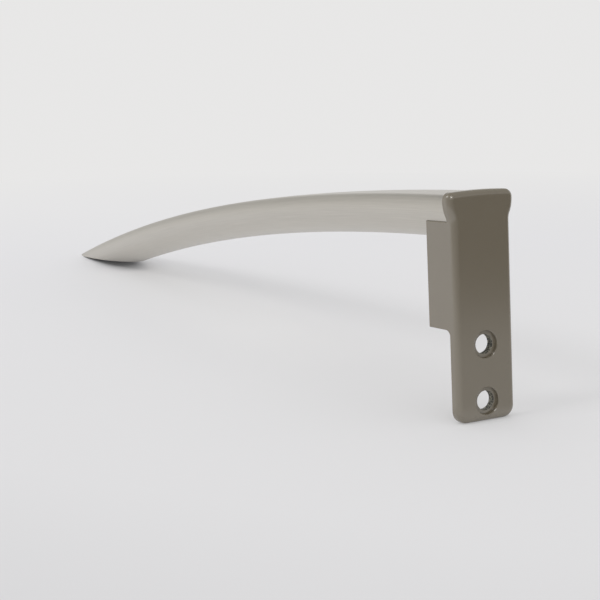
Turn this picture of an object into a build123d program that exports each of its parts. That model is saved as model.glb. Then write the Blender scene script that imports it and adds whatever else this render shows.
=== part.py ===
"""Freezer door handle: a bowed bar that tapers down to the door, held at its near end by a cast bracket.

The bracket's tongue goes over the edge of the door and takes two screws. Its block stands on the front of the
door and cradles the bar, and its head covers the bar's end. The bar's far end is cut off along the door.

Frame: the origin is midway between the two screw holes, on the tongue's seating face. +X leaves the edge of the
door, the bar runs towards -X, and +Z points away from the front of the door. Millimetres.
"""

import os
from math import asin, degrees

from build123d import *

# Screw holes in the tongue
hole_pitch = 20.0
hole_diameter = 7.0
counterbore_diameter = 9.7
counterbore_depth = 1.3
rim_break = 0.2

# Plate: tongue, post and head are one upright plate
plate_thickness = 4.0
plate_width = 24.2
tongue_end = 17.2             # from the middle of the holes down to the end of the tongue
tongue_corner_radius = 4.4
plate_edge_radius = 2.2       # round the outer face
head_lip = 1.05               # how far the head stands proud of the bar's top
head_overhang = 1.3           # how far it stands proud at each side
head_shoulder = 3.65          # crown and straight side of the head, above its flare
head_corner_radius = 2.8
head_flare = 12.8             # depth of the ellipse that narrows the head towards the post
neck_radius = 5.0             # where the flare runs into the post

# Block behind the plate
door_level = 15.6             # from the middle of the holes up to the front of the door
block_depth = 12.9
saddle_wrap = 6.7             # how far the block reaches up round the bar's belly
inside_corner_radius = 2.8
edge_break = 0.4

# Bar
bar_length = 401.0            # along the door, from the plate to the point
bar_width = 24.8
bar_shoulder = 6.0            # crown and straight side, above the belly
bar_belly = 10.1
bar_crown = 0.5
bar_corner_radius = 1.0
finger_gap = 31.0             # between the door and the belly at the block
bow_apex = 8.7                # how far behind the plate the bow is highest
point_blunting = 5.0          # knife edge taken off the point

# Fit between bar and block
saddle_clearance = 0.1

# Screw that holds the bar down in the saddle
screw_diameter = 5.0
screw_length = 16.0
screw_head_diameter = 8.5
screw_head_height = 5.0
screw_socket_width = 4.0
screw_socket_depth = 2.5
screw_tip_chamfer = 0.6
screw_head_chamfer = 0.3
screw_web = 8.0               # metal of the block between screw head and belly
thread_clearance = 0.05
shank_clearance = 0.25
head_pocket_clearance = 0.25
thread_run_out = 1.5

# Levels and the bow, from the sizes above
belly_level = door_level + finger_gap
bar_top = belly_level + bar_belly + bar_shoulder
saddle_level = belly_level + saddle_wrap
head_top = bar_top + head_lip
flare_level = head_top - head_shoulder
bow_drop = bar_top - door_level
bow_run = bar_length - bow_apex
bow_radius = (bow_run**2 + bow_drop**2) / (2 * bow_drop)
bow_centre = (-bow_apex, 0, bar_top - bow_radius)
bow_axis = Axis(bow_centre, (0, -1, 0))

# The sweep starts past the plate's inner face and ends past the point, and is cut back to both
bow_start = degrees(asin((bow_apex + plate_thickness) / bow_radius))
bow_end = degrees(asin((bow_run + plate_thickness) / bow_radius))
start_plane = Plane(bow_centre, x_dir=(0, 1, 0), z_dir=(1, 0, 0)).rotated((0, bow_start, 0))

screw_x = -block_depth / 2
screw_seat = belly_level - screw_web
screw_tip = screw_seat + screw_length


def d_section(half_width: float, top: float, shoulder: float, belly: float, corner_radius: float) -> Sketch:
    """D-shaped section with its crown at a height: crown, rounded corners, straight sides, elliptical belly."""
    crown_edge = top - bar_crown
    belly_top = top - shoulder
    with BuildSketch() as section:
        with BuildLine():
            Line((half_width, belly_top), (half_width, crown_edge))
            ThreePointArc((half_width, crown_edge), (0, top), (-half_width, crown_edge))
            Line((-half_width, crown_edge), (-half_width, belly_top))
            EllipticalCenterArc((0, belly_top), half_width, belly, 180, arc_size=180)
        make_face()
        fillet(section.vertices().group_by(Axis.Y)[-1], corner_radius)
    return section.sketch


def bar_section(growth: float = 0.0) -> Sketch:
    """Section of the bar as the bow swings it, grown all round for the saddle."""
    return d_section(
        bar_width / 2 + growth,
        bow_radius + growth,
        bar_shoulder + growth,
        bar_belly + growth,
        bar_corner_radius + growth,
    )


# Bar: its section swung about the axis of the bow, cut along the plate, the door and the blunted point
with BuildPart() as handle_bar:
    with BuildSketch(start_plane):
        add(bar_section())
    revolve(axis=bow_axis, revolution_arc=bow_start + bow_end)
    split(bisect_by=Plane.YZ, keep=Keep.BOTTOM)
    split(bisect_by=Plane.XY.offset(door_level), keep=Keep.TOP)
    split(bisect_by=Plane.YZ.offset(point_blunting - bar_length), keep=Keep.TOP)
    with BuildSketch(Plane.XY.offset(screw_tip + thread_run_out)):
        with Locations((screw_x, 0)):
            Circle(screw_diameter / 2 + thread_clearance)
    extrude(amount=-(screw_tip + thread_run_out - screw_seat), mode=Mode.SUBTRACT)

# Block of the bracket: its side profile, with a round inside corner over the tongue and broken outer edges
with BuildPart() as block:
    with BuildSketch(Plane.XZ) as block_side:
        with BuildLine():
            Polyline(
                (0, door_level - inside_corner_radius),
                (0, saddle_level),
                (-block_depth, saddle_level),
                (-block_depth, door_level),
                (-inside_corner_radius, door_level),
            )
            TangentArc(
                (-inside_corner_radius, door_level),
                (0, door_level - inside_corner_radius),
                tangent=(1, 0),
            )
        make_face()
        back_vertices = block_side.vertices().group_by(Axis.X)[0]
        fillet(back_vertices.sort_by(Axis.Y)[0], edge_break)
    extrude(amount=plate_width / 2, both=True)
    back_edges = block.faces().sort_by(Axis.X)[0].edges().filter_by(Axis.Z)
    top_edges = block.faces().sort_by(Axis.Z)[-1].edges().filter_by(Axis.X)
    fillet(back_edges + top_edges, edge_break)

# Bracket: plate and block, then the saddle and the holes
with BuildPart() as end_bracket:
    with BuildSketch(Plane.YZ) as plate_outline:
        with Locations((0, -tongue_end)):
            Rectangle(plate_width, tongue_end + flare_level, align=(Align.CENTER, Align.MIN))
        fillet(plate_outline.vertices().group_by(Axis.Y)[0], tongue_corner_radius)
        add(
            d_section(
                max(bar_width, plate_width) / 2 + head_overhang,
                head_top,
                head_shoulder,
                head_flare,
                min(head_corner_radius, 0.9 * (head_shoulder - bar_crown)),
            )
        )
        on_sides = plate_outline.vertices().filter_by(lambda v: abs(abs(v.X) - plate_width / 2) < 1e-4)
        fillet(on_sides.group_by(Axis.Y)[-1], neck_radius)
    extrude(amount=plate_thickness)
    fillet(end_bracket.faces().sort_by(Axis.X)[-1].edges(), plate_edge_radius)

    add(block.part)
    with BuildSketch(start_plane):
        add(bar_section(saddle_clearance))
    saddle = revolve(axis=bow_axis, revolution_arc=bow_start + bow_end, mode=Mode.PRIVATE)
    add(saddle.split(Plane.YZ, Keep.BOTTOM), mode=Mode.SUBTRACT)

    with Locations(Plane.YZ.offset(plate_thickness)):
        with GridLocations(0, hole_pitch, 1, 2):
            CounterBoreHole(hole_diameter / 2, counterbore_diameter / 2, counterbore_depth)
    rims = end_bracket.edges().filter_by(lambda e: e.is_closed).group_by(Axis.X)[-1]
    chamfer(rims, rim_break)
    with Locations(Location((screw_x, 0, door_level), (180, 0, 0))):
        CounterBoreHole(
            screw_diameter / 2 + shank_clearance,
            screw_head_diameter / 2 + head_pocket_clearance,
            screw_seat - door_level,
        )

# Screw: socket head below its seat, shank up through the block into the bar
with BuildPart() as bar_screw:
    with BuildSketch(Plane.XY.offset(screw_seat)):
        with Locations((screw_x, 0)):
            Circle(screw_diameter / 2)
    extrude(amount=screw_length)
    chamfer(bar_screw.faces().sort_by(Axis.Z)[-1].edges(), screw_tip_chamfer)
    with BuildSketch(Plane.XY.offset(screw_seat)):
        with Locations((screw_x, 0)):
            Circle(screw_head_diameter / 2)
    extrude(amount=-screw_head_height)
    chamfer(bar_screw.faces().sort_by(Axis.Z)[0].edges(), screw_head_chamfer)
    with BuildSketch(Plane.XY.offset(screw_seat - screw_head_height)):
        with Locations((screw_x, 0)):
            RegularPolygon(screw_socket_width / 2, 6, major_radius=False)
    extrude(amount=screw_socket_depth, mode=Mode.SUBTRACT)

handle_bar.part.label = "handle_bar"
end_bracket.part.label = "end_bracket"
bar_screw.part.label = "bar_screw"

os.makedirs("parts", exist_ok=True)
export_step(handle_bar.part, "parts/handle_bar.step")
export_step(end_bracket.part, "parts/end_bracket.step")
export_step(bar_screw.part, "parts/bar_screw.step")
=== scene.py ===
import math

import bpy
import numpy as np
from mathutils import Matrix, Vector


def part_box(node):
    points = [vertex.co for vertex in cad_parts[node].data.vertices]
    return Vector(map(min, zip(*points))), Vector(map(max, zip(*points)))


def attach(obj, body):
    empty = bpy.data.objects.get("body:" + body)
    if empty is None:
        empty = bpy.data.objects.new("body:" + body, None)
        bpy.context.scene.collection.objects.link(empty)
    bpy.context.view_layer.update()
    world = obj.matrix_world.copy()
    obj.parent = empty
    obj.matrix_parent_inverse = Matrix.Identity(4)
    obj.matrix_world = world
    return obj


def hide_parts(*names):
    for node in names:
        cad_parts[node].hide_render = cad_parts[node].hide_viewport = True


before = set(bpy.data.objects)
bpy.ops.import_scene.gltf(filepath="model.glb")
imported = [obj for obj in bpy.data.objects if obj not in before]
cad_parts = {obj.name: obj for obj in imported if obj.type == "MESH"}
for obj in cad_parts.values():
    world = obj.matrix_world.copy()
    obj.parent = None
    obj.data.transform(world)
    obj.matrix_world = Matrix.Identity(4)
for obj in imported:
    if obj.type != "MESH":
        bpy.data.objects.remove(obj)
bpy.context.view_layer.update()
scene = bpy.context.scene
scene.view_settings.view_transform = "Standard"
print("frame loaded:", sorted(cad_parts))

barLow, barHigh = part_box("handle_bar")
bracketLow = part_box("end_bracket")[0]


def addObject(name, data):
    added = bpy.data.objects.new(name, data)
    scene.collection.objects.link(added)
    return added


# quads between neighbouring rows of a grid of vertex numbers; onward is the same grid one column further on
def gridQuads(index, onward):
    return np.stack([index[:-1], index[1:], onward[1:], onward[:-1]], axis=-1).reshape(-1, 4)


# shader helpers

def newMaterial(name):
    mat = bpy.data.materials.new(name)
    mat.use_nodes = True
    nodes = mat.node_tree.nodes
    return mat, nodes, mat.node_tree.links, nodes["Principled BSDF"]


def setSockets(node, **values):
    for name, value in values.items():
        node.inputs[name.replace("_", " ")].default_value = value


def noiseNode(nodes, links, vector, scale, detail, roughness=0.5):
    noise = nodes.new("ShaderNodeTexNoise")
    setSockets(noise, Scale=scale, Detail=detail, Roughness=roughness)
    links.new(vector, noise.inputs["Vector"])
    return noise.outputs["Fac"]


def stretched(nodes, links, vector, scale):
    mapping = nodes.new("ShaderNodeMapping")
    mapping.inputs["Scale"].default_value = scale
    links.new(vector, mapping.inputs["Vector"])
    return mapping.outputs["Vector"]


def attributeNode(nodes, name):
    attribute = nodes.new("ShaderNodeAttribute")
    attribute.attribute_name = name
    return attribute.outputs["Fac"]


def remap(nodes, links, value, low, high, toLow, toHigh):
    node = nodes.new("ShaderNodeMapRange")
    for name, number in (("From Min", low), ("From Max", high), ("To Min", toLow), ("To Max", toHigh)):
        node.inputs[name].default_value = number
    links.new(value, node.inputs["Value"])
    return node.outputs["Result"]


def mathNode(nodes, links, operation, valueA, valueB):
    node = nodes.new("ShaderNodeMath")
    node.operation = operation
    links.new(valueA, node.inputs[0])
    links.new(valueB, node.inputs[1])
    return node.outputs["Value"]


def vectorMath(nodes, links, operation, vector, constant=None):
    node = nodes.new("ShaderNodeVectorMath")
    node.operation = operation
    links.new(vector, node.inputs[0])
    if constant is not None:
        node.inputs[1].default_value = constant
    return next(output for output in node.outputs if output.enabled)


# each colour is three numbers or a socket
def mixColours(nodes, links, factor, colourA, colourB):
    mix = nodes.new("ShaderNodeMix")
    mix.data_type = "RGBA"
    links.new(factor, mix.inputs["Factor"])
    for name, colour in (("A", colourA), ("B", colourB)):
        if isinstance(colour, tuple):
            mix.inputs[name].default_value = (*colour, 1)
        else:
            links.new(colour, mix.inputs[name])
    return mix.outputs["Result"]


def mixShaders(nodes, links, factor, shaderA, shaderB, outputName):
    mix = nodes.new("ShaderNodeMixShader")
    for number, socket in enumerate((factor, shaderA, shaderB)):
        links.new(socket, mix.inputs[number])
    links.new(mix.outputs["Shader"], nodes[outputName].inputs["Surface"])


def bumpFrom(nodes, links, height, strength, distance):
    bump = nodes.new("ShaderNodeBump")
    setSockets(bump, Strength=strength, Distance=distance)
    links.new(height, bump.inputs["Height"])
    return bump.outputs["Normal"]


# bowed bar

barSpec = {
    "crown": 0.0005,              # rise of the top over its edges
    "shoulder": 0.006,            # crown and straight side, above the belly
    "corner": (0.0030, 0.0054),   # width and height of the rounding between crown and side
    "bowApex": 0.0087,            # highest point, behind the bracket's plate
    "topAtApex": 0.0627,
    "bowTip": 0.401,              # where the top of the bow would meet the door
    "height": 0.0161,
    "bellySteps": 40,
    "sideSteps": 4,
    "cornerSteps": 18,
    "crownSteps": 14,
    "lengthSteps": 260,
    "sharpAngle": 35,             # degrees; the cut ends keep sharp edges
}
barMap = "alongBar"               # UV map in metres: along the bow, and round the section from the belly


# half section from the middle of the crown down to the lowest point of the belly: an arc for the crown, a
# quarter of an ellipse that is sheared to leave the crown at its slope and comes down to the straight side,
# then a quarter of an ellipse for the belly; gives widths and depths under the top
def halfSection(spec, halfWidth):
    crownRadius = (halfWidth**2 + spec["crown"]**2) / (2 * spec["crown"])
    cornerWidth, cornerHeight = spec["corner"]
    crownTurn = math.asin((halfWidth - cornerWidth) / crownRadius)
    crownDepth = crownRadius * (1 - math.cos(crownTurn))
    slopeDrop = cornerWidth * math.tan(crownTurn)
    crownAngle = np.linspace(0, crownTurn, spec["crownSteps"], endpoint=False)
    cornerAngle = np.linspace(0, math.pi / 2, spec["cornerSteps"], endpoint=False)
    sideTop = crownDepth + slopeDrop + cornerHeight
    sideDepth = np.linspace(sideTop, spec["shoulder"], spec["sideSteps"], endpoint=False)
    bellyAngle = np.linspace(0, math.pi / 2, spec["bellySteps"] + 1)
    belly = spec["height"] - spec["shoulder"]
    width = np.concatenate([
        crownRadius * np.sin(crownAngle),
        halfWidth - cornerWidth * (1 - np.sin(cornerAngle)),
        np.full(spec["sideSteps"], halfWidth),
        halfWidth * np.cos(bellyAngle),
    ])
    depth = np.concatenate([
        crownRadius * (1 - np.cos(crownAngle)),
        crownDepth + slopeDrop * np.sin(cornerAngle) + cornerHeight * (1 - np.cos(cornerAngle)),
        sideDepth,
        spec["shoulder"] + belly * np.sin(bellyAngle),
    ])
    return width, depth


# closes a section by a strip across from each point to its mirror image, with a triangle at belly and crown
def endCap(around):
    half = around // 2
    left = np.arange(half + 1)
    right = (-left) % around
    strip = np.stack([left[1:-2], left[2:-1], right[2:-1], right[1:-2]], axis=-1)
    triangles = np.array([[0, 1, right[1]], [left[-2], half, right[-2]]])
    return strip, triangles


# the section goes round once, from the belly over the crown and back, and each of its points swings about the
# axis of the bow, from the plate to whichever it meets first, the door or the blunted point
def makeBar(spec):
    halfWidth = (barHigh.y - barLow.y) / 2
    door = barLow.z
    drop = spec["topAtApex"] - door
    run = spec["bowTip"] - spec["bowApex"]
    bowRadius = (run**2 + drop**2) / (2 * drop)
    centreZ = spec["topAtApex"] - bowRadius
    width, depth = halfSection(spec, halfWidth)
    y = np.concatenate([width[::-1], -width[1:-1]])
    rho = bowRadius - np.concatenate([depth[::-1], depth[1:-1]])
    startAngle = -np.arcsin(spec["bowApex"] / rho)
    doorAngle = np.arccos((door - centreZ) / rho)
    pointAngle = np.arcsin((-barLow.x - spec["bowApex"]) / rho)
    endAngle = np.minimum(doorAngle, pointAngle)
    t = np.linspace(0, 1, spec["lengthSteps"] + 1)[:, None]
    angle = startAngle + (endAngle - startAngle) * t
    points = np.stack([
        -spec["bowApex"] - rho * np.sin(angle),
        np.broadcast_to(y, angle.shape),
        centreZ + rho * np.cos(angle),
    ], axis=-1)

    rings, around = angle.shape
    index = np.arange(rings * around).reshape(rings, around)
    sides = gridQuads(index, np.roll(index, -1, axis=1))
    strip, triangles = endCap(around)
    lastRing = index[-1, 0]
    quads = np.concatenate([sides, strip, strip[:, ::-1] + lastRing])
    triangles = np.concatenate([triangles, triangles[:, ::-1] + lastRing])
    faces = quads.tolist() + triangles.tolist()
    mesh = bpy.data.meshes.new("brushed_bar")
    mesh.from_pydata(points.reshape(-1, 3), [], faces)
    mesh.update()

    sectionStep = np.hypot(np.diff(np.append(y, y[0])), np.diff(np.append(rho, rho[0])))
    girth = np.concatenate([[0], np.cumsum(sectionStep)])
    loopVerts = np.empty(len(mesh.loops), dtype=np.int64)
    mesh.loops.foreach_get("vertex_index", loopVerts)
    ring, place = np.divmod(loopVerts, around)
    v = girth[place]
    onwardCorners = v[:sides.size].reshape(-1, 4)[:, 2:]
    onwardCorners[onwardCorners == 0] = girth[-1]     # where the section closes
    uv = np.stack([angle[ring, place] * bowRadius, v], axis=-1)
    mesh.uv_layers.new(name=barMap).data.foreach_set("uv", uv.ravel())
    # the cut end faces, which the material colours nearly black as painted shade for the gap under the point
    cutEnds = np.arange(len(faces)) >= len(sides)
    mesh.attributes.new("shadedCutEnd", "FLOAT", "FACE").data.foreach_set("value", cutEnds.astype(np.float32))

    mesh.polygons.foreach_set("use_smooth", np.ones(len(faces), dtype=bool))
    mesh.set_sharp_from_angle(angle=math.radians(spec["sharpAngle"]))
    bar = addObject("brushed_bar", mesh)
    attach(bar, "root")
    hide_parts("handle_bar")
    print("bar made:", len(faces), "faces, bow radius", round(bowRadius, 4))
    return bar


aluminiumSpec = {
    "colourDark": (0.56, 0.535, 0.484),
    "colourLight": (0.655, 0.627, 0.573),
    "roughness": (0.28, 0.40),
    "anisotropy": 0.55,
    "brushTurn": 0.25,                    # of a full turn
    "grain": (22, 2600, 1),               # noise cells a metre, along and round the bar
    "fineGrain": (60, 9000, 1),
    "fineShare": 0.5,
    "grainRoughness": 0.6,
    "grainRange": (0.35, 0.65),           # noise values that come out darkest and lightest
    "scratchStrength": 0.5,
    "scratchDepth": 0.00002,
    "cutEndShade": (0.07, 0.068, 0.062),   # painted shade: the cut ends are coloured nearly black, so the gap under the point stays dark
}


# colour, roughness and height all follow noise that is drawn out along the bar; the cut ends are coloured
# nearly black as painted shade
def brushedAluminium(spec):
    mat, nodes, links, shader = newMaterial("brushed_aluminium")
    uvMap = nodes.new("ShaderNodeUVMap")
    uvMap.uv_map = barMap
    uv = uvMap.outputs["UV"]
    cells = stretched(nodes, links, uv, spec["grain"])
    fineCells = stretched(nodes, links, uv, spec["fineGrain"])
    coarse = noiseNode(nodes, links, cells, scale=1, detail=3, roughness=spec["grainRoughness"])
    fine = noiseNode(nodes, links, fineCells, scale=1, detail=2, roughness=spec["grainRoughness"])
    coarse = remap(nodes, links, coarse, 0, 1, 0, 1 - spec["fineShare"])
    fine = remap(nodes, links, fine, 0, 1, 0, spec["fineShare"])
    grain = mathNode(nodes, links, "ADD", coarse, fine)
    streaks = remap(nodes, links, grain, *spec["grainRange"], 0, 1)
    brushed = mixColours(nodes, links, streaks, spec["colourDark"], spec["colourLight"])
    # painted shade: the cut ends take a near-black colour
    colour = mixColours(nodes, links, attributeNode(nodes, "shadedCutEnd"), brushed, spec["cutEndShade"])
    links.new(colour, shader.inputs["Base Color"])
    links.new(remap(nodes, links, grain, *spec["grainRange"], *spec["roughness"]), shader.inputs["Roughness"])
    scratches = bumpFrom(nodes, links, grain, spec["scratchStrength"], spec["scratchDepth"])
    links.new(scratches, shader.inputs["Normal"])
    tangent = nodes.new("ShaderNodeTangent")
    tangent.direction_type = "UV_MAP"
    tangent.uv_map = barMap
    links.new(tangent.outputs["Tangent"], shader.inputs["Tangent"])
    setSockets(shader, Metallic=1.0, Anisotropic=spec["anisotropy"], Anisotropic_Rotation=spec["brushTurn"])
    return mat


paintSpec = {
    "colour": (0.170, 0.143, 0.099),
    "colourPale": (0.180, 0.152, 0.107),
    "roughness": (0.17, 0.22),
    "ior": 1.65,
    "specular": 1.0,                      # a hard enamel, glossier than plain plastic
    "mottle": 60,                         # noise cells a metre
    "peel": 900,
    "peelRange": (0.3, 0.7),              # noise values that come out smoothest and roughest
    "peelStrength": 0.15,
    "peelDepth": 0.00001,
    "boreAt": (0, 0, 0.01),               # the screw holes run along X, this far above and below it
    "boreEdge": (0.00355, 0.00362),       # radii between which the dark bore colour goes over into paint
    "boreDark": (0.006, 0.005, 0.003),
    "borePale": (0.36, 0.34, 0.25),
    "boreGrit": 2200,
    "gritRange": (0.45, 0.65),            # noise values that come out darkest and palest
    "boreRoughness": 0.95,
}


# 1 within the bores, by the distance from the nearer hole's axis: absolute place less the hole's, across X
def inBores(nodes, links, place, spec):
    folded = vectorMath(nodes, links, "ABSOLUTE", place)
    fromAxis = vectorMath(nodes, links, "SUBTRACT", folded, spec["boreAt"])
    across = vectorMath(nodes, links, "MULTIPLY", fromAxis, (0, 1, 1))
    return remap(nodes, links, vectorMath(nodes, links, "LENGTH", across), *spec["boreEdge"], 1, 0)


# semi-gloss paint: faint mottling of the colour and a fine orange-peel skin; the bores are coloured dark with
# pale grit, and rough
def taupePaint(spec):
    mat, nodes, links, shader = newMaterial("taupe_paint")
    place = nodes.new("ShaderNodeTexCoord").outputs["Object"]
    mottle = noiseNode(nodes, links, place, spec["mottle"], detail=4)
    peel = noiseNode(nodes, links, place, spec["peel"], detail=2)
    grit = noiseNode(nodes, links, place, spec["boreGrit"], detail=2)
    grit = remap(nodes, links, grit, *spec["gritRange"], 0, 1)
    bore = inBores(nodes, links, place, spec)
    paint = mixColours(nodes, links, mottle, spec["colour"], spec["colourPale"])
    boreTone = mixColours(nodes, links, grit, spec["boreDark"], spec["borePale"])
    links.new(mixColours(nodes, links, bore, paint, boreTone), shader.inputs["Base Color"])
    paintRoughness = remap(nodes, links, peel, *spec["peelRange"], *spec["roughness"])
    boreRoughness = remap(nodes, links, bore, 0, 1, 0, spec["boreRoughness"])
    roughness = mathNode(nodes, links, "MAXIMUM", paintRoughness, boreRoughness)
    links.new(roughness, shader.inputs["Roughness"])
    skin = bumpFrom(nodes, links, peel, spec["peelStrength"], spec["peelDepth"])
    links.new(skin, shader.inputs["Normal"])
    setSockets(shader, Metallic=0.0, IOR=spec["ior"], Specular_IOR_Level=spec["specular"])
    return mat


zincSpec = {
    "colour": (0.50, 0.51, 0.53),
    "colourPale": (0.58, 0.59, 0.60),
    "roughness": (0.28, 0.42),
    "cloud": 900,                         # noise cells a metre
    "cloudRange": (0.3, 0.7),             # noise values that come out smoothest and roughest
}


# clouds of noise for colour and roughness
def zincPlate(spec):
    mat, nodes, links, shader = newMaterial("zinc_plate")
    place = nodes.new("ShaderNodeTexCoord").outputs["Object"]
    cloud = noiseNode(nodes, links, place, spec["cloud"], detail=3)
    colour = mixColours(nodes, links, cloud, spec["colour"], spec["colourPale"])
    links.new(colour, shader.inputs["Base Color"])
    roughness = remap(nodes, links, cloud, *spec["cloudRange"], *spec["roughness"])
    links.new(roughness, shader.inputs["Roughness"])
    setSockets(shader, Metallic=1.0)
    return mat


bar = makeBar(barSpec)
bar.data.materials.append(brushedAluminium(aluminiumSpec))
for nodeName, material in (("end_bracket", taupePaint(paintSpec)), ("bar_screw", zincPlate(zincSpec))):
    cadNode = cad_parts[nodeName]
    cadNode.data.materials.clear()
    cadNode.data.materials.append(material)
print("materials on")


# studio: the handle stands on the end of its tongue and on its point, so its frame leans over the floor

floorSpec = {
    "radius": 9.0,
    "rings": 48,
    "around": 96,
    "roughness": 0.9,
    "colour": (0.79, 0.787, 0.802),
    "forward": (0.6, -0.8, 0.0),          # the paper's colour is darkened this way, as painted shade for light falling off towards the front
    "paintedFalloff": ((-0.4, 1.06), (0.0, 0.985), (0.11, 0.955), (0.2, 0.87)),   # metres forward, share of colour left by the painted shade
    "backdrop": (0.806, 0.801, 0.797),    # what the camera and the metal see where the sweep runs out
    "fade": (0.4, 0.8),                   # metres over which it does
    "nearGlow": 0.32,                     # share of that backdrop in the floor at the bracket, painted light that lightens the shadow there
    "nearReach": (0.1, 0.40),             # metres over which that share goes down to nothing
    "stripGlow": 0.28,                    # share of it in a strip under the bar, where the point comes down, painted light that lightens the bar's shadow there
    "stripMiddle": (0, -0.005, 0),
    "stripReach": (0.012, 0.042),         # metres to each side over which that share goes down
    "stripFrom": (-0.35, -0.325),         # where it begins and where it ends, along the bar
    "stripTo": (-0.16, -0.08),
    "sink": (0.00025, 0.0005),            # how far the tongue and the point press into the paper
}

tongueSink, pointSink = floorSpec["sink"]
tongueFoot = Vector((0, 0, bracketLow.z + tongueSink))
pointFoot = Vector((barLow.x, 0, barLow.z + pointSink))
floorTilt = math.atan2(pointFoot.z - tongueFoot.z, tongueFoot.x - pointFoot.x)
studio = Matrix.Translation(tongueFoot) @ Matrix.Rotation(floorTilt, 4, "Y")


# a grid of points in the studio, as a list of points in the handle's frame
def inStudio(points):
    return points.reshape(-1, 3) @ np.array(studio.to_3x3()).T + np.array(studio.translation)


# 1 where a ray shows the backdrop: from the camera, or by way of metal or glass
def seenBackdrop(nodes, links):
    ray = nodes.new("ShaderNodeLightPath").outputs
    seen = mathNode(nodes, links, "MAXIMUM", ray["Is Camera Ray"], ray["Is Glossy Ray"])
    return mathNode(nodes, links, "MAXIMUM", seen, ray["Is Transmission Ray"])


# painted light: a share of backdrop under the bar that lightens its shadow, going down with the distance from
# the strip's middle line and at its ends
def underBar(nodes, links, place, spec):
    fromMiddle = vectorMath(nodes, links, "SUBTRACT", place, spec["stripMiddle"])
    folded = vectorMath(nodes, links, "ABSOLUTE", fromMiddle)
    across = vectorMath(nodes, links, "DOT_PRODUCT", folded, (0, 1, 0))
    along = vectorMath(nodes, links, "DOT_PRODUCT", place, (1, 0, 0))
    share = remap(nodes, links, across, *spec["stripReach"], spec["stripGlow"], 0)
    share = mathNode(nodes, links, "MULTIPLY", share, remap(nodes, links, along, *spec["stripFrom"], 0, 1))
    return mathNode(nodes, links, "MULTIPLY", share, remap(nodes, links, along, *spec["stripTo"], 1, 0))


# paper whose colour is darkened towards the front as painted shade, and that goes over into plain backdrop by
# the shares in the settings; near the bracket and under the bar that share is painted light that lightens the
# shadow
def palePaper(spec):
    mat, nodes, links, shader = newMaterial("pale_paper")
    setSockets(shader, Roughness=spec["roughness"], Specular_IOR_Level=0.0)
    place = nodes.new("ShaderNodeTexCoord").outputs["Object"]

    # painted shade: the floor's colour goes darker towards the front and lighter behind
    forward = vectorMath(nodes, links, "DOT_PRODUCT", place, spec["forward"])
    reaches = [reach for reach, factor in spec["paintedFalloff"]]
    paintedFalloff = nodes.new("ShaderNodeValToRGB")
    links.new(remap(nodes, links, forward, reaches[0], reaches[-1], 0, 1), paintedFalloff.inputs["Fac"])
    stops = paintedFalloff.color_ramp.elements
    for reach in reaches[1:-1]:
        stops.new((reach - reaches[0]) / (reaches[-1] - reaches[0]))
    for stop, (reach, factor) in zip(stops, spec["paintedFalloff"]):
        stop.color = (*(factor * channel for channel in spec["colour"]), 1)
    links.new(paintedFalloff.outputs["Color"], shader.inputs["Base Color"])

    distance = vectorMath(nodes, links, "LENGTH", place)
    # painted light: backdrop glow at the bracket and under the bar lightens the object's shadow on the floor
    near = remap(nodes, links, distance, *spec["nearReach"], spec["nearGlow"], 0)
    far = remap(nodes, links, distance, *spec["fade"], 0, 1)
    share = mathNode(nodes, links, "ADD", near, far)
    share = mathNode(nodes, links, "ADD", share, underBar(nodes, links, place, spec))
    share = mathNode(nodes, links, "MULTIPLY", share, seenBackdrop(nodes, links))
    glow = nodes.new("ShaderNodeEmission")
    setSockets(glow, Color=(*spec["backdrop"], 1))
    mixShaders(nodes, links, share, shader.outputs["BSDF"], glow.outputs["Emission"], "Material Output")
    return mat


# a disc: rings at radii that grow with the square of the ring's number
def makeFloor(spec):
    radius = spec["radius"] * np.linspace(0, 1, spec["rings"] + 1)[1:, None]**2
    turn = np.linspace(0, 2 * math.pi, spec["around"], endpoint=False)
    x = radius * np.cos(turn)
    y = radius * np.sin(turn)
    points = np.stack([x, y, np.zeros_like(x)], axis=-1).reshape(-1, 3)
    points = np.vstack([points, [[0, 0, 0]]])
    index = np.arange(x.size).reshape(x.shape)
    onward = np.roll(index, -1, axis=1)
    quads = gridQuads(index, onward)
    hub = np.stack([np.full(spec["around"], x.size), index[0], onward[0]], axis=-1)
    mesh = bpy.data.meshes.new("floor")
    mesh.from_pydata(inStudio(points), [], quads.tolist() + hub.tolist())
    mesh.materials.append(palePaper(spec))
    floor = addObject("floor", mesh)


makeFloor(floorSpec)

worldSpec = {
    "backdrop": floorSpec["backdrop"],
    "room": (0.83, 0.83, 0.83),
    "ceiling": (0.38, 0.38, 0.375),       # what the gloss shows from higher up
    "ceilingFrom": (0.32, 0.52),          # sines of the heights between which it takes over
    "beyond": (0.31, 0.305, 0.285),       # what the gloss shows past the bar's point
    "beyondTowards": (-0.985, -0.174, 0),
    "beyondWithin": (0.845, 0.985),       # cosines of the angles from there between which it takes over
    "beyondFrom": (-0.12, 0.48),          # sines of the heights between which it does
}


# dot product of the ray with a direction in the studio
def rayAlong(nodes, links, direction):
    ray = nodes.new("ShaderNodeTexCoord").outputs["Generated"]
    return vectorMath(nodes, links, "DOT_PRODUCT", ray, studio.to_3x3() @ Vector(direction).normalized())


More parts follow.
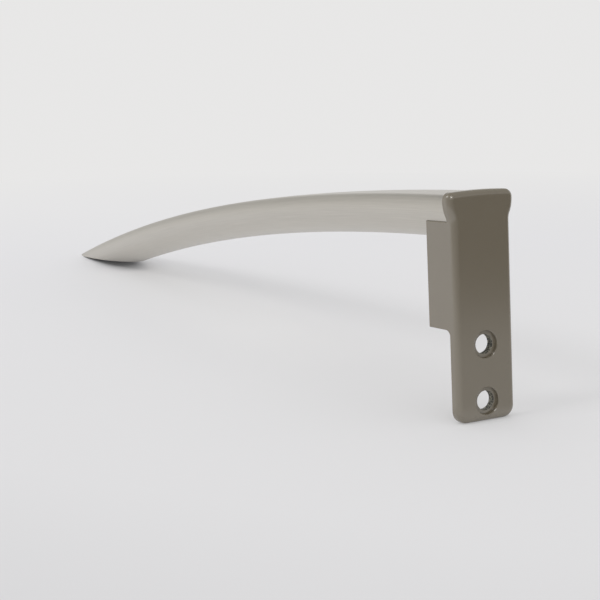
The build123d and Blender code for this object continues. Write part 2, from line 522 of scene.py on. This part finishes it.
# the room lights evenly; the camera sees a pale backdrop, and gloss shows it too, but dimmer from above and
# from past the bar's point
def makeWorld(spec):
    world = bpy.data.worlds.new("studio")
    scene.world = world
    world.use_nodes = True
    nodes, links = world.node_tree.nodes, world.node_tree.links
    room = nodes["Background"]
    setSockets(room, Color=(*spec["room"], 1), Strength=1.0)
    glossy = nodes.new("ShaderNodeLightPath").outputs["Is Glossy Ray"]
    height = rayAlong(nodes, links, (0, 0, 1))
    above = remap(nodes, links, height, *spec["ceilingFrom"], 0, 1)
    above = mathNode(nodes, links, "MULTIPLY", above, glossy)
    beyond = remap(nodes, links, rayAlong(nodes, links, spec["beyondTowards"]), *spec["beyondWithin"], 0, 1)
    raised = remap(nodes, links, height, *spec["beyondFrom"], 0, 1)
    beyond = mathNode(nodes, links, "MULTIPLY", beyond, raised)
    beyond = mathNode(nodes, links, "MULTIPLY", beyond, glossy)
    shown = mixColours(nodes, links, above, spec["backdrop"], spec["ceiling"])
    shown = mixColours(nodes, links, beyond, shown, spec["beyond"])
    backdrop = nodes.new("ShaderNodeBackground")
    links.new(shown, backdrop.inputs["Color"])
    lit, seen = room.outputs["Background"], backdrop.outputs["Background"]
    mixShaders(nodes, links, seenBackdrop(nodes, links), lit, seen, "World Output")


makeWorld(worldSpec)

# softboxes: compass angle from +X and height above the floor in degrees, distance and width in metres, watts
lampSpecs = {
    "sideBox": (-90, 40, 1.6, 0.45, 4.2),
    "topBox": (-90, 73, 1.5, 0.6, 0.2),
}
lampAim = Vector((-0.15, 0, 0.03))        # in the studio, at the bar's middle


# unit vector at a compass angle and a height in degrees
def heading(compass, height):
    compass, height = math.radians(compass), math.radians(height)
    flat = math.cos(height)
    return Vector((math.cos(compass) * flat, math.sin(compass) * flat, math.sin(height)))


def addLamp(name, compass, height, distance, width, power):
    lamp = bpy.data.lights.new(name, "AREA")
    lamp.size = width
    lamp.energy = power
    aim = studio @ lampAim
    position = studio @ (lampAim + heading(compass, height) * distance)
    turn = (aim - position).to_track_quat("-Z", "Y").to_matrix().to_4x4()
    lampObject = addObject(name, lamp)
    lampObject.matrix_world = Matrix.Translation(position) @ turn
    lampObject.visible_glossy = False


for lampName, lampSpec in lampSpecs.items():
    addLamp(lampName, *lampSpec)


# stage piece that glows by its points' brightness and that only glossy rays meet
def glossOnly(name, points, faces, brightness):
    mesh = bpy.data.meshes.new(name)
    mesh.from_pydata(points, [], faces)
    mesh.attributes.new("brightness", "FLOAT", "POINT").data.foreach_set("value", brightness)
    mat, nodes, links, shader = newMaterial(name + "_glow")
    glow = nodes.new("ShaderNodeEmission")
    links.new(attributeNode(nodes, "brightness"), glow.inputs["Strength"])
    links.new(glow.outputs["Emission"], nodes["Material Output"].inputs["Surface"])
    mesh.materials.append(mat)
    piece = addObject(name, mesh)
    piece.visible_camera = False
    piece.visible_diffuse = False
    piece.visible_shadow = False
    piece.visible_transmission = False


# screen round the front of the bracket: an apron on the floor that turns up into a wall
screenSpec = {
    "radii": (0.025, 0.30),
    "lift": 0.001,
    "top": 0.20,
    "blend": (0.0, 0.031),                # heights between which the apron's brightness becomes the wall's
    "topBlend": (0.13, 0.20),             # heights between which the wall's becomes the ceiling's
    "ceiling": 0.38,
    "compass": (-135, -122, -92, -62, -32, -2, 28, 80),
    "wall": (0.75, 0.70, 0.42, 0.37, 0.26, 0.22, 0.08, 0.08),    # brightness at those compass angles
    "apron": (0.78, 0.78, 0.75, 0.72, 0.66, 0.58, 0.52, 0.52),
    "compassSteps": 86,
    "apronSteps": 4,
    "wallSteps": 40,
}


# a profile of radius and height, out along the floor and then up, swung through the compass angles
def makeScreen(spec):
    inner, outer = spec["radii"]
    out = np.linspace(inner, outer, spec["apronSteps"], endpoint=False)
    up = np.linspace(spec["lift"], spec["top"], spec["wallSteps"])
    radius = np.concatenate([out, np.full_like(up, outer)])
    height = np.concatenate([np.full_like(out, spec["lift"]), up])
    sweep = np.linspace(spec["compass"][0], spec["compass"][-1], spec["compassSteps"])
    compass, radius = np.meshgrid(sweep, radius)
    height = np.broadcast_to(height[:, None], compass.shape)
    turn = np.radians(compass)
    points = np.stack([radius * np.cos(turn), radius * np.sin(turn), height], axis=-1)
    index = np.arange(compass.size).reshape(compass.shape)
    quads = gridQuads(index[:, :-1], index[:, 1:])
    wall = np.interp(compass, spec["compass"], spec["wall"])
    apron = np.interp(compass, spec["compass"], spec["apron"])
    brightness = apron + (wall - apron) * np.interp(height, spec["blend"], (0, 1))
    brightness += (spec["ceiling"] - brightness) * np.interp(height, spec["topBlend"], (0, 1))
    glossOnly("screen", inStudio(points), quads.tolist(), brightness.ravel())


# panels that give the small highlights: compass angle, height, distance, width, brightness
panelSpecs = {
    "leftPanel": (-130, 40, 1.0, 0.34, 4.0),
    "frontPanel": (-22, 47, 1.0, 0.28, 7.0),
}
panelAim = Vector((0, 0, 0.08))           # in the studio, at the bracket's head


# a square round a point in the heading, across it and upright to it
def makePanel(name, compass, height, distance, width, brightness):
    towards = heading(compass, height)
    across = Vector((0, 0, 1)).cross(towards).normalized() * width / 2
    upward = towards.cross(across)
    middle = panelAim + towards * distance
    signs = ((-1, -1), (1, -1), (1, 1), (-1, 1))
    corners = [studio @ (middle + across * right + upward * up) for right, up in signs]
    glossOnly(name, corners, [(0, 1, 2, 3)], [brightness] * 4)


makeScreen(screenSpec)
for panelName, panelSpec in panelSpecs.items():
    makePanel(panelName, *panelSpec)
print("studio ready, floor slopes", round(math.degrees(floorTilt), 2), "degrees")


# camera: the turn of the view, how far the frame's origin is, and where it falls in the 600 pixel picture

cameraSpec = {
    "azimuth": 62.252,
    "elevation": 7.633,
    "roll": -2.66,
    "distance": 0.462221,
    "originPixel": (479.923, 371.075),
    "focalPixels": 1316.81,
    "picture": 600,
    "sensor": 36.0,
    "clip": (0.01, 100),
}


# looks along the heading from the camera to the origin, and is moved sideways to put the origin on its pixel
def makeCamera(spec):
    azimuth, elevation, roll = (math.radians(spec[name]) for name in ("azimuth", "elevation", "roll"))
    flat = math.cos(elevation)
    back = Vector((math.sin(azimuth) * flat, -math.cos(azimuth) * flat, math.sin(elevation)))
    level = Vector((math.cos(azimuth), math.sin(azimuth), 0))
    upright = back.cross(level)
    right = level * math.cos(roll) + upright * math.sin(roll)
    up = upright * math.cos(roll) - level * math.sin(roll)
    scale = spec["distance"] / spec["focalPixels"]
    across = (spec["originPixel"][0] - spec["picture"] / 2) * scale
    above = (spec["picture"] / 2 - spec["originPixel"][1]) * scale
    lens = bpy.data.cameras.new("camera")
    lens.sensor_width = spec["sensor"]
    lens.lens = spec["focalPixels"] / spec["picture"] * spec["sensor"]
    lens.clip_start, lens.clip_end = spec["clip"]
    camera = addObject("camera", lens)
    camera.matrix_world = Matrix((right, up, back)).transposed().to_4x4()
    camera.location = back * spec["distance"] - right * across - up * above
    scene.camera = camera


makeCamera(cameraSpec)
